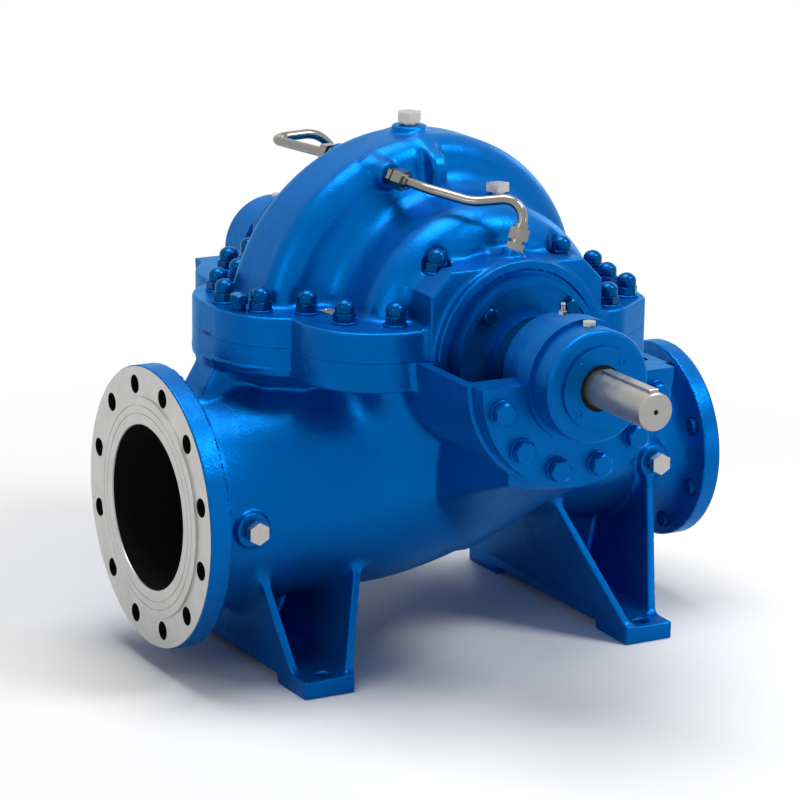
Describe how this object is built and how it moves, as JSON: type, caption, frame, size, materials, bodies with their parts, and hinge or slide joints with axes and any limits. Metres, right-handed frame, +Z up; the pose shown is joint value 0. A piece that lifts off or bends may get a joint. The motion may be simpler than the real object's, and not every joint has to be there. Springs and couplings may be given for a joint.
{
  "type": "horizontally split double-suction centrifugal pump",
  "caption": "Blue horizontally split centrifugal pump with a spiral volute, side suction and discharge flanges, feet, bearing brackets and a keyed shaft end that turns.",
  "frame": {"origin": "middle of the foundation bolt pattern on the underside of the feet, straight below the shaft axis", "axes": "+X out of the discharge flange, -Y out of the driven shaft end along the shaft, +Z up"},
  "size_m": [0.735, 0.945, 0.648],
  "materials": {
    "casing_paint": "gloss blue paint on cast iron",
    "gasket": "pressed fibre sheet",
    "seal_rubber": "matt black",
    "shaft_steel": "turned steel",
    "stainless": "drawn stainless tube and fittings",
    "plug_steel": "bright zinc-plated steel",
    "plate_brass": "dull stamped plate, bare"
  },
  "bodies": {
    "pump": {"bearing_cover_drive": "casing_paint", "bearing_housing_drive": "casing_paint", "bearing_housing_far": "casing_paint", "casing_gasket": "gasket", "drain_plug_discharge_drive": "plug_steel", "drain_plug_discharge_far": "plug_steel", "drain_plug_suction_drive": "plug_steel", "drain_plug_suction_far": "plug_steel", "end_cover_far": "casing_paint", "flush_fitting_seal_drive": "stainless", "flush_fitting_seal_far": "stainless", "flush_fitting_volute_drive": "stainless", "flush_fitting_volute_far": "stainless", "flush_pipe_drive": "stainless", "flush_pipe_far": "stainless", "grease_nipple_drive": "plug_steel", "grease_nipple_far": "plug_steel", "level_plug_drive": "plug_steel", "level_plug_far": "plug_steel", "lower_casing": "casing_paint", "name_plate": "plate_brass", "oil_seal_drive": "seal_rubber", "priming_plug_drive": "plug_steel", "priming_plug_far": "plug_steel", "seal_cover_drive": "casing_paint", "seal_cover_far": "casing_paint", "upper_casing": "casing_paint", "vent_plug": "plug_steel"},
    "rotor": {"shaft": "shaft_steel", "shaft_key": "shaft_steel", "shaft_sleeve_drive": "shaft_steel", "shaft_sleeve_far": "shaft_steel", "sleeve_nut_drive": "shaft_steel", "sleeve_nut_far": "shaft_steel", "thrower_ring_drive": "seal_rubber", "thrower_ring_far": "seal_rubber"}
  },
  "joints": [
    {"name": "shaft_spin", "type": "hinge", "parent": "pump", "child": "rotor", "pos_m": [0, 0, 0.402], "axis": [0, -1, 0], "continuous": true}
  ]
}
